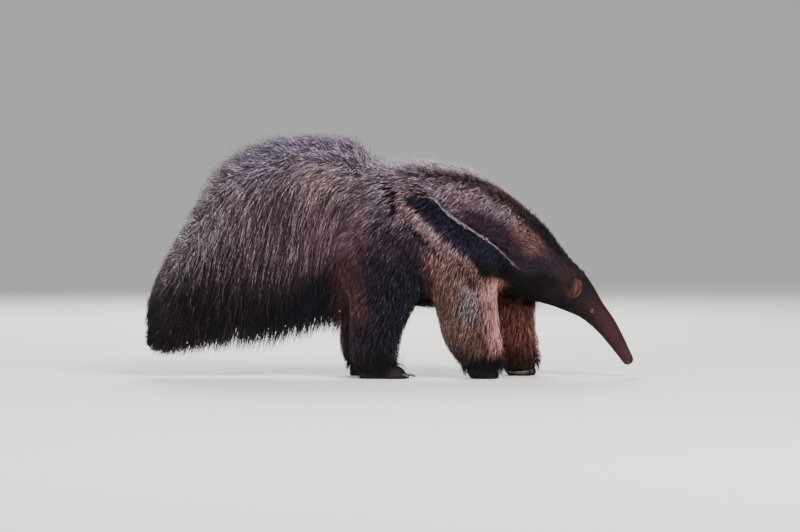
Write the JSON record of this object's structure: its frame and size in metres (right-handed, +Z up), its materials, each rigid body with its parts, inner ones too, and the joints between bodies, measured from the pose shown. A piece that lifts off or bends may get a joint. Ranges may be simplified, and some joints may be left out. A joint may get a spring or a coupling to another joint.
{
  "type": "giant anteater",
  "caption": "Life-size still model of a giant anteater walking with its snout low, its plume-like tail raised, standing on the flat soles of four feet.",
  "frame": {"origin": "on the floor, under the middle of the whole length", "axes": "+X towards the snout, +Y to the animal's left, +Z up"},
  "size_m": [1.5575, 0.3222, 0.778],
  "materials": {
    "short_coat": "short dark brown fur",
    "long_coat": "coarse grey-brown hair with pale tips",
    "tail_coat": "long wavy hair",
    "leg_coat": "pale tan hair",
    "dark_coat": "black-brown hair",
    "ear_skin": "thin furred skin",
    "foot_skin": "rough bare skin",
    "claw": "horn",
    "eye": "wet"
  },
  "bodies": {
    "root": {"ear_left": "ear_skin", "ear_right": "ear_skin", "eye_left": "eye", "eye_right": "eye", "forefoot_left": "foot_skin", "forefoot_left_claw_1": "claw", "forefoot_left_claw_2": "claw", "forefoot_left_claw_3": "claw", "forefoot_left_claw_4": "claw", "forefoot_right": "foot_skin", "forefoot_right_claw_1": "claw", "forefoot_right_claw_2": "claw", "forefoot_right_claw_3": "claw", "forefoot_right_claw_4": "claw", "foreleg_left": "leg_coat", "foreleg_right": "leg_coat", "head": "short_coat", "hindfoot_left": "foot_skin", "hindfoot_left_claw_1": "claw", "hindfoot_left_claw_2": "claw", "hindfoot_left_claw_3": "claw", "hindfoot_left_claw_4": "claw", "hindfoot_left_claw_5": "claw", "hindfoot_right": "foot_skin", "hindfoot_right_claw_1": "claw", "hindfoot_right_claw_2": "claw", "hindfoot_right_claw_3": "claw", "hindfoot_right_claw_4": "claw", "hindfoot_right_claw_5": "claw", "hindleg_left": "dark_coat", "hindleg_right": "dark_coat", "neck": "short_coat", "tail": "tail_coat", "torso": "long_coat"}
  },
  "joints": []
}
